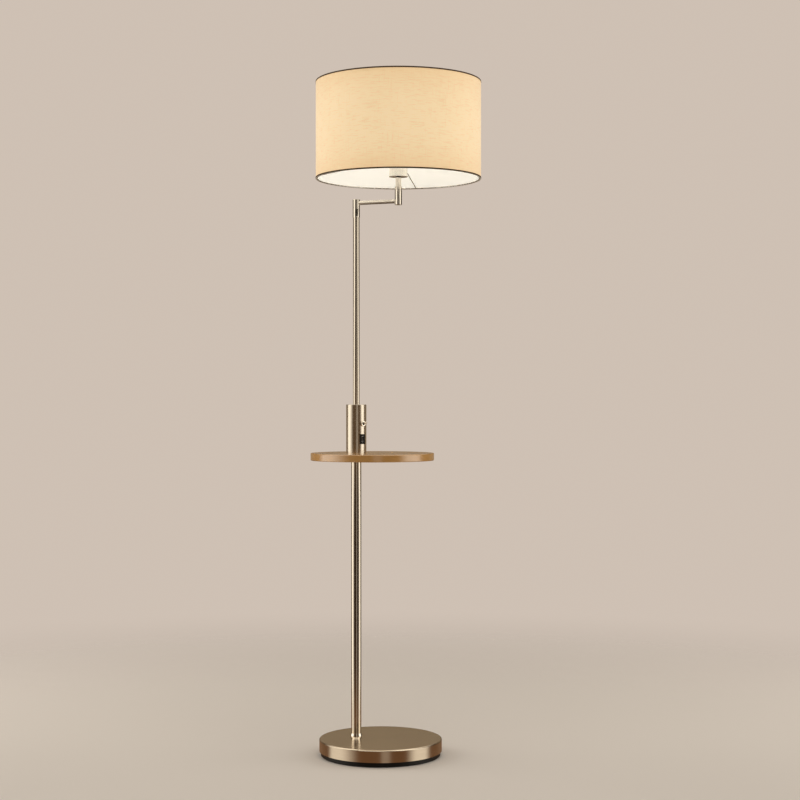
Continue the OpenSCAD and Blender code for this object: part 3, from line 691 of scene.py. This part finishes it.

# %% [markdown]
# ## Linen
#
# The drum is covered in plain-woven linen. Each thread passes over one and under the next, so two
# sine waves give the weave, and the stronger of the two lies on top. The weave's low points are
# painted a little deeper, as painted shade between the threads. Real linen has slubs, which are
# thick stretches in a thread: they are noise that is stretched a long way round the drum, with a
# weaker set running up it. The bulb's light through the cloth is painted light: an emission stands
# in for it, strongest at the bulb's height and weaker towards the rims, and a slub glows less because
# it is thicker.

# %% Make the linen's finish
THREAD_WIDTH = 0.9 * MM
WEAVE_DEPTH = 0.3 * MM
LONG_SLUB_SCALE = (52, 52, 520)
TALL_SLUB_SCALE = (420, 420, 36)
LONG_SLUB_EDGE = (0.48, 0.72)
TALL_SLUB_EDGE = (0.54, 0.78)
GLOW_FALL = 2.4
LINEN_PALE = (0.80, 0.655, 0.475)
LINEN_DEEP = (0.66, 0.50, 0.325)
GLOW_PALE = (0.530, 0.385, 0.205)
GLOW_RIM = (0.450, 0.275, 0.110)
GLOW_SLUB = (0.380, 0.275, 0.115)
shade_low, shade_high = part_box("shade_linen")
shade_middle = (shade_low.z + shade_high.z) / 2
shade_half = (shade_high.z - shade_low.z) / 2


def woven(round_way, up_way):
    """The weave's height: the higher of the threads that run round and the threads that run up."""
    step = math.pi / THREAD_WIDTH
    weft = (up_way * step).sine().size()
    warp = (round_way * step).sine().size()
    over = ((round_way + up_way) * (step / 2)).sine().size()
    return (weft * over).larger(warp * (1 - over))


def linen_cloth(name):
    finish = Finish(name)
    x, y, z = finish.parts(finish.place((head_axis.x, head_axis.y, shade_middle)))
    weave = woven(angle_round(x, y) * radius_of("shade_linen"), z)
    long_slubs = finish.noise(finish.stretch((x, y, z), LONG_SLUB_SCALE)).smooth_step(*LONG_SLUB_EDGE)
    tall_slubs = finish.noise(finish.stretch((x, y, z), TALL_SLUB_SCALE)).smooth_step(*TALL_SLUB_EDGE)
    cloud = finish.noise(finish.join(x, y, z), scale=9.0)
    thick = long_slubs.averaged(tall_slubs, weight=0.58)
    # Painted shade: the weave's low points are made a little deeper.
    deep = thick.averaged(cloud, weight=0.75) + (1 - weave) * 0.12
    to_rim = (z / shade_half).size() ** GLOW_FALL
    light = finish.mix(to_rim * 0.9 + cloud.swing(0.5), GLOW_PALE, GLOW_RIM)
    return finish.surface(
        Base_Color=finish.mix(deep, LINEN_PALE, LINEN_DEEP),
        Roughness=0.9,
        Normal=finish.bump(weave + thick, WEAVE_DEPTH, strength=0.5),
        Sheen_Weight=0.25,
        Sheen_Roughness=0.5,
        # Painted light: the emission stands in for the bulb's light through the cloth.
        Emission_Color=finish.mix(thick * 0.8, light, GLOW_SLUB),
        Emission_Strength=1.0,
    )


linen = linen_cloth("linen")
print("made the linen")

# %% [markdown]
# ## The liner and the trim
#
# Behind the linen is a stiff white sheet, which is what the cloth is glued to. Seen from below it is
# almost white, because the bulb is close to it, and its glow is painted light: an emission stands in
# for the bulb's light on it. A narrow tape is folded over both rims. It is painted dark brown where
# it lies on the cloth, as painted shade where the rim blocks the glow, and painted pale where it goes
# over the rim and in, as painted light from the bulb, so its colour depends on how far from the axis
# a point is.

# %% Dress the liner, and make the tape's finish
LINER_GLOW = (0.29, 0.28, 0.25)
LINER_DEEP = (0.84, 0.82, 0.78)
LINER_PALE = (0.90, 0.885, 0.85)
LINER_DEPTH = 0.03 * MM
TAPE_SHADED_DEEP = (0.040, 0.021, 0.008)
TAPE_SHADED_SOFT = (0.085, 0.048, 0.022)
TAPE_LIT_PALE = (0.80, 0.73, 0.62)
TAPE_TURN = 0.8 * MM
RIB_DEPTH = 0.2 * MM
hem_outer = radius_of("shade_hems")


def liner_sheet(name):
    finish = Finish(name)
    cloud = finish.noise(finish.place(), scale=14.0, detail=3.0)
    fine = finish.noise(finish.place(), scale=900.0)
    return finish.surface(
        Base_Color=finish.mix(cloud, LINER_DEEP, LINER_PALE),
        Roughness=0.6 + fine.swing(0.2),
        Normal=finish.bump(fine, LINER_DEPTH, strength=0.3),
        # Painted light: the liner's emission stands in for the bulb's light on it.
        Emission_Color=finish.mix(cloud, toned(LINER_GLOW, by=0.94), LINER_GLOW),
        Emission_Strength=1.0,
    )


def tape_cloth(name):
    finish = Finish(name)
    x, y, _ = finish.parts(finish.place(head_axis))
    ribs = (angle_round(x, y) * hem_outer * (math.pi / THREAD_WIDTH)).sine().size()
    fray = finish.noise(finish.place(), scale=600.0, detail=3.0)
    lit_turned_in = 1 - off_axis(x, y).smooth_step(hem_outer - TAPE_TURN, hem_outer - TAPE_TURN / 2)
    outside = finish.mix(ribs.averaged(fray, weight=0.4), TAPE_SHADED_DEEP, TAPE_SHADED_SOFT)
    return finish.surface(
        # Painted shade on the outside, and painted light on the turned-in side.
        Base_Color=finish.mix(lit_turned_in, outside, TAPE_LIT_PALE),
        Roughness=0.85,
        Normal=finish.bump(ribs + fray * 0.5, RIB_DEPTH, strength=0.6),
    )


dress(liner_sheet("liner_sheet"), "shade_liner")
tape = tape_cloth("hem_tape")

# %% [markdown]
# ## Pieces that are turned on a lathe
#
# A drum, a folded hem and a ring are all one outline carried round an axis. The outline is a closed
# loop of a few vertices, and bmesh's spin operator does the rest. The last ring of a full turn lies
# on the first, so it is merged, and the faces are then turned to point outwards.

# %% A lathe in mesh code
DRUM_STEPS = 240
MERGE_WITHIN = 1e-6
SHARP_EDGE = 35


def lathe(outline, axis, steps=DRUM_STEPS, turn=FULL_TURN, start=0.0):
    bm = bmesh.new()
    way = Vector((math.cos(start), math.sin(start), 0))
    loop = [bm.verts.new(Vector((axis.x, axis.y, z)) + way * r) for r, z in outline]
    edges = [bm.edges.new((loop[i - 1], loop[i])) for i in range(len(loop))]
    whole = math.isclose(turn, FULL_TURN)
    if not whole:
        bm.faces.new(loop)
    bmesh.ops.spin(
        bm, geom=bm.faces[:] + loop + edges, cent=(axis.x, axis.y, 0), axis=(0, 0, 1), angle=turn,
        steps=steps, use_merge=whole, use_duplicate=False,
    )
    bmesh.ops.remove_doubles(bm, verts=bm.verts[:], dist=MERGE_WITHIN)
    bmesh.ops.recalc_face_normals(bm, faces=bm.faces[:])
    return bm


def as_object(bm, name, finish):
    mesh = bpy.data.meshes.new(name)
    bm.to_mesh(mesh)
    bm.free()
    mesh.materials.append(finish)
    made = bpy.data.objects.new(name, mesh)
    bpy.context.scene.collection.objects.link(made)
    return made


def keep(bm, name, finish, body, sharp=SHARP_EDGE):
    """Makes the mesh an object, smooths its round faces and lets it ride on a body."""
    for face in bm.faces:
        face.smooth = True
    for edge in bm.edges:
        edge.smooth = edge.calc_face_angle(0) < math.radians(sharp)
    piece = as_object(bm, name, finish)
    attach(piece, body)
    print("made", name, "with", len(piece.data.polygons), "faces")
    return piece


# %% [markdown]
# ## The linen drum
#
# The cloth is cut as one long strip, wrapped round the liner and glued where its ends lap. It is
# made here as a thin wall with many rings up its height. Where the ends lap, at the back of the
# lamp, a narrow second layer lies on the first.

# %% Make the linen drum
RINGS_UP = 36
LINEN_THICK = 0.8 * MM
LAP_WIDTH = 14 * MM
LAP_THICK = 0.5 * MM
LAP_TURN = math.radians(118)
LAP_STEPS = 8
HEM_HEIGHT = 3.6 * MM

linen_radius = radius_of("shade_linen")
heights = [shade_low.z + (shade_high.z - shade_low.z) * i / RINGS_UP for i in range(RINGS_UP + 1)]
wall = [(linen_radius, z) for z in heights]
wall += [(linen_radius - LINEN_THICK, z) for z in reversed(heights)]
drum = keep(lathe(wall, head_axis), "linen_drum", linen, "head")
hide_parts("shade_linen")

lap_angle = LAP_WIDTH / linen_radius
lap_outer = linen_radius + LAP_THICK
lap_low = shade_low.z + HEM_HEIGHT
lap_high = shade_high.z - HEM_HEIGHT
lap_outline = [
    (linen_radius, lap_low), (lap_outer, lap_low), (lap_outer, lap_high), (linen_radius, lap_high)
]
lap_mesh = lathe(lap_outline, head_axis, steps=LAP_STEPS, turn=lap_angle, start=LAP_TURN)
lap = keep(lap_mesh, "linen_lap", linen, "head")

# %% [markdown]
# ## The folded tape
#
# The tape goes up the outside, folds over the rim in a small round and comes down inside. Its
# outline is the outer path followed by the same path one thickness in. The lower rim has the same
# outline turned upside down.

# %% Make the hems
TAPE_THICK = 0.5 * MM
TAPE_GAP = 0.1 * MM
LINER_THICK = 0.6 * MM
FOLD_STEPS = 8
FOLD_SHARP = 60
hem_low, hem_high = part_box("shade_hems")
hem_inner = radius_of("shade_liner") - LINER_THICK - (TAPE_GAP + TAPE_THICK)


def fold(outer, inner, foot, top):
    """A path up the outside, round the fold and down the inside."""
    bend = (outer - inner) / 2
    centre = (outer + inner) / 2
    turns = [math.pi * i / FOLD_STEPS for i in range(FOLD_STEPS + 1)]
    arc = [(centre + bend * math.cos(t), top - bend + bend * math.sin(t)) for t in turns]
    return [(outer, foot), *arc, (inner, foot)]


def hem(name, rim, way):
    """Way is 1 for the top rim and -1 for the lower one."""
    outside = fold(hem_outer, hem_inner, -HEM_HEIGHT, 0)
    inside = fold(hem_outer - TAPE_THICK, hem_inner + TAPE_THICK, -HEM_HEIGHT, -TAPE_THICK)
    outline = [(r, rim + way * z) for r, z in outside + inside[::-1]]
    return keep(lathe(outline, head_axis), name, tape, "head", sharp=FOLD_SHARP)


top_hem = hem("top_hem", hem_high.z, 1)
low_hem = hem("low_hem", hem_low.z, -1)
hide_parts("shade_hems")
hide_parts("shade_hems")

# %% [markdown]
# ## Contacts in the charging port
#
# Four thin contacts lie on the port's tongue. Each starts as a cube that is scaled, bevelled and
# moved. They lie on the side of the tongue that faces the open half of the port.

# %% Make the contacts
CONTACT_COUNT = 4
CONTACT_LONG = 6.5 * MM
CONTACT_WIDE = 1.1 * MM
CONTACT_THICK = 0.16 * MM
CONTACT_ROUND = CONTACT_THICK * 0.3
CONTACT_STEP = 2.3 * MM
TONGUE_HALF = 0.95 * MM
GOLD = (0.80, 0.62, 0.28)


def contacts():
    bm = bmesh.new()
    centre = middle("port_tongue") - toggle_axis * (TONGUE_HALF + CONTACT_THICK / 2)
    turn = face_way.to_track_quat("X", "Z").to_matrix()
    for i in range(CONTACT_COUNT):
        made = bmesh.ops.create_cube(bm, size=1.0)["verts"]
        bmesh.ops.scale(bm, verts=made, vec=(CONTACT_LONG, CONTACT_THICK, CONTACT_WIDE))
        bmesh.ops.rotate(bm, verts=made, cent=(0, 0, 0), matrix=turn)
        up = (i - (CONTACT_COUNT - 1) / 2) * CONTACT_STEP
        bmesh.ops.translate(bm, verts=made, vec=centre + Vector((0, 0, up)))
    bmesh.ops.bevel(
        bm, geom=bm.edges[:], offset=CONTACT_ROUND, affect="EDGES", segments=2, profile=0.5,
        material=-1,
    )
    return bm


keep(contacts(), "port_contacts", plated("gold_contact", GOLD, roughness=0.2), "stand")

# %% [markdown]
# ## The studio
#
# The floor is one plain pale disc. It fades out with the distance, so that it has no edge in a view
# from above, and the world carries on in about the same pale tone. The world's own light is soft
# and even.

# %% Lay the floor and light the world
FLOOR_RADIUS = 4.5
FLOOR_STEPS = 96
FLOOR_FADE = (0.7, 2.9)
FLOOR_PALE = (0.84, 0.765, 0.69)
BACKDROP = (0.62, 0.53, 0.455)
WORLD_LIGHT = (0.80, 0.76, 0.705)
WORLD_LEVEL = 0.42


def floor_finish():
    finish = Finish("pale_floor")
    x, y, _ = finish.parts(finish.place())
    matt_inputs = {"Base Color": FLOOR_PALE, "Roughness": 0.75}
    matt = finish.node("ShaderNodeBsdfPrincipled", inputs=matt_inputs)
    clear = finish.node("ShaderNodeBsdfTransparent")
    fade = off_axis(x, y).smooth_step(*FLOOR_FADE)
    return finish.show(finish.node("ShaderNodeMixShader", inputs={0: fade, 1: matt, 2: clear}))


def stand_by(bm, name, finish):
    """Makes a mesh object for the studio, which rides on no body of the lamp."""
    prop = as_object(bm, name, finish)
    return prop


floor_bm = bmesh.new()
bmesh.ops.create_circle(floor_bm, cap_ends=True, radius=FLOOR_RADIUS, segments=FLOOR_STEPS)
stand_by(floor_bm, "floor", floor_finish()).visible_glossy = False

world = bpy.data.worlds.new("studio")
world.use_nodes = True
bpy.context.scene.world = world
sky = Finish("studio", world.node_tree)
seen = sky.node("ShaderNodeLightPath", output="Is Camera Ray")
seen = seen.larger(seen.beside("Is Glossy Ray")).larger(seen.beside("Is Transmission Ray"))
soft = sky.node("ShaderNodeBackground", inputs={"Color": WORLD_LIGHT, "Strength": WORLD_LEVEL})
pale = sky.node("ShaderNodeBackground", inputs={"Color": BACKDROP, "Strength": 1.0})
blend = sky.node("ShaderNodeMixShader", inputs={0: seen, 1: soft, 2: pale})
sky.show(blend, "ShaderNodeOutputWorld")
print("laid the floor")

# %% [markdown]
# ## Softboxes
#
# Two tall softboxes stand at the sides and a wide one hangs overhead. They are large for their
# distance, so their shadows are soft. They light the lamp but don't show in its metal, because the
# next cell gives the metal something better to reflect.

# %% Place the softboxes
WARM_WHITE = (1.0, 0.96, 0.89)
HIGHEST_AIM = 1.0


def around(angle, distance, height):
    """A point round the pole. The angle is in degrees from the camera, to the camera's right."""
    turn = math.radians(angle)
    way = towards_camera * math.cos(turn) + camera_right * math.sin(turn)
    return Vector((pole_axis.x, pole_axis.y, height)) + way * distance


def softbox(name, angle, distance, height, wide, tall, brightness):
    data = bpy.data.lights.new(name, "AREA")
    data.shape = "RECTANGLE"
    data.size = wide
    data.size_y = tall
    data.energy = brightness * math.pi * wide * tall
    data.color = WARM_WHITE
    light = bpy.data.objects.new(name, data)
    light.location = around(angle, distance, height)
    aim = around(0, 0, min(height, HIGHEST_AIM)) - light.location
    light.rotation_euler = aim.to_track_quat("-Z", "Y").to_euler()
    light.visible_glossy = False
    bpy.context.scene.collection.objects.link(light)


softbox("left_softbox", angle=-108, distance=2.6, height=1.6, wide=1.6, tall=2.8, brightness=2.1)
softbox("right_softbox", angle=104, distance=2.6, height=1.6, wide=1.6, tall=2.8, brightness=1.5)
softbox("top_softbox", angle=20, distance=1.2, height=3.4, wide=2.4, tall=2.4, brightness=0.85)
print("placed three softboxes")

# %% [markdown]
# ## What the metal reflects
#
# Round metal shows everything round it, squeezed into its width. A photographer therefore stands
# cards round it: pale ones at the sides for the two bright upright lines, and dark ones in front and
# behind for the bands between. Here one wall goes all the way round, between a roof and a dark pit,
# and metal sees it instead of the floor. It stands far off, so that the bands stay upright on every
# piece. The roof is pale, with a darker middle.
#
# The wall's tone depends on the angle and on the height. The pale cards come closer together higher
# up, near the light of the shade, move apart lower down, and have the floor's colour where the base
# mirrors them. The left one ends above the pit, and a faint pale line stands in front. The dark ones
# are lighter at the housing's height. Only reflections see all this, and it gives no light.

# %% Choose the cards' tones and places
CARD_DEEP = (0.034, 0.017, 0.008)
CARD_BROWN = (0.145, 0.088, 0.045)
CARD_BACK = (0.33, 0.262, 0.178)
BACK_DEEP = (0.13, 0.095, 0.065)
CARD_PALE = (1.72, 1.60, 1.40)
FLOOR_BROWN = (0.21, 0.105, 0.050)
FLOOR_BACK = (0.26, 0.150, 0.085)
FLOOR_BRIGHT = (1.16, 1.04, 0.88)
ROOF_TONE = (0.95, 0.87, 0.76)
ROOF_MIDDLE = (0.50, 0.44, 0.36)
PIT_TONE = (0.085, 0.060, 0.040)
LINE_PALE = 0.24
WALL_DISTANCE = 3.0
WALL_HEIGHT = 3.2
WALL_DEPTH = -3.0
ROOF_HOLE = 10 * MM
CARD_STEPS = 96
CARDS_CLOSE_IN = 14
CARDS_OPEN_OUT = 10

# %% [markdown]
# The bands come next. A height is in metres above the floor, and an angle is in degrees from the
# camera. A band of four numbers rises over the first two and ends over the last two. A pair is
# where one tone goes over into the next.

# %% Set the bands and stand the cards
BASE_HEIGHTS = (-1.5, -1.1, -0.48, -0.28)
HOUSING_HEIGHTS = (0.50, 0.62, 0.90, 1.05)
APART_HEIGHTS = (-0.45, -0.25, 0.40, 0.60)
CLOSER_ABOVE = (0.9, 1.6)
LEFT_ABOVE = (-2.2, -1.6)
ROOF_ABOVE = (1.9, 2.4)
PIT_BELOW = (-2.6, -1.9)
LEFT_ANGLES = (-114, -98, -80, -34)
RIGHT_ANGLES = (46, 70, 88, 106)
LINE_ANGLES = (0, 6, 14, 23)
BEHIND_ANGLES = (106, 150)
ROOF_MIDDLE_OUT = (0.3, 1.6)
CARDS_OUT = (1.2, 2.4)


def between(value, rise, full, fade, end):
    """1 from full to fade, and 0 before rise and after end."""
    return value.smooth_step(rise, full) * (1 - value.smooth_step(fade, end))


def card_finish(name, centre):
    finish = Finish(name)
    facing = math.atan2(towards_camera.y, towards_camera.x)
    x, y, z = finish.parts(finish.place((centre.x, centre.y, 0), (0, 0, -facing)))
    angle = angle_round(x, y) * math.degrees(1)
    distance = off_axis(x, y)
    by_base = between(z, *BASE_HEIGHTS)
    by_housing = between(z, *HOUSING_HEIGHTS)
    closer = z.smooth_step(*CLOSER_ABOVE) * CARDS_CLOSE_IN
    closer = closer - between(z, *APART_HEIGHTS) * CARDS_OPEN_OUT
    left = between(angle - closer, *LEFT_ANGLES) * z.smooth_step(*LEFT_ABOVE)
    right = between(angle + closer, *RIGHT_ANGLES)
    line = between(angle, *LINE_ANGLES) * LINE_PALE
    shown = (left + right + line) * distance.smooth_step(*CARDS_OUT)
    front = finish.mix(by_base, finish.mix(by_housing, CARD_DEEP, CARD_BROWN), FLOOR_BROWN)
    back = finish.mix(by_base, finish.mix(by_housing, BACK_DEEP, CARD_BACK), FLOOR_BACK)
    bright = finish.mix(by_base, CARD_PALE, FLOOR_BRIGHT)
    roof = finish.mix(distance.smooth_step(*ROOF_MIDDLE_OUT), ROOF_MIDDLE, ROOF_TONE)
    wall_tone = finish.mix(angle.size().smooth_step(*BEHIND_ANGLES), front, back)
    tone = finish.mix(z.smooth_step(*ROOF_ABOVE), wall_tone, roof)
    tone = finish.mix(z.smooth_step(*PIT_BELOW), PIT_TONE, tone)
    return finish.show(
        finish.node("ShaderNodeEmission", inputs={"Color": finish.mix(shown, tone, bright)})
    )


def card(name, centre, inner, outer, low, high):
    """One edge is carried all round: upright for the wall, or flat for the roof and the pit."""
    bm = bmesh.new()
    near = bm.verts.new((centre.x + inner, centre.y, low))
    far = bm.verts.new((centre.x + outer, centre.y, high))
    edge = bm.edges.new((near, far))
    bmesh.ops.spin(
        bm, geom=[near, far, edge], cent=(centre.x, centre.y, 0), axis=(0, 0, 1), angle=FULL_TURN,
        steps=CARD_STEPS, use_merge=True, use_duplicate=False,
    )
    prop = stand_by(bm, name, card_finish(name, centre))
    for kind in ("camera", "diffuse", "transmission", "volume_scatter", "shadow"):
        setattr(prop, "visible_" + kind, False)


card("card_wall", pole_axis, WALL_DISTANCE, WALL_DISTANCE, WALL_DEPTH, WALL_HEIGHT)
card("card_roof", pole_axis, ROOF_HOLE, WALL_DISTANCE, WALL_HEIGHT, WALL_HEIGHT)
card("card_pit", pole_axis, ROOF_HOLE, WALL_DISTANCE, WALL_DEPTH, WALL_DEPTH)
print("stood the cards")
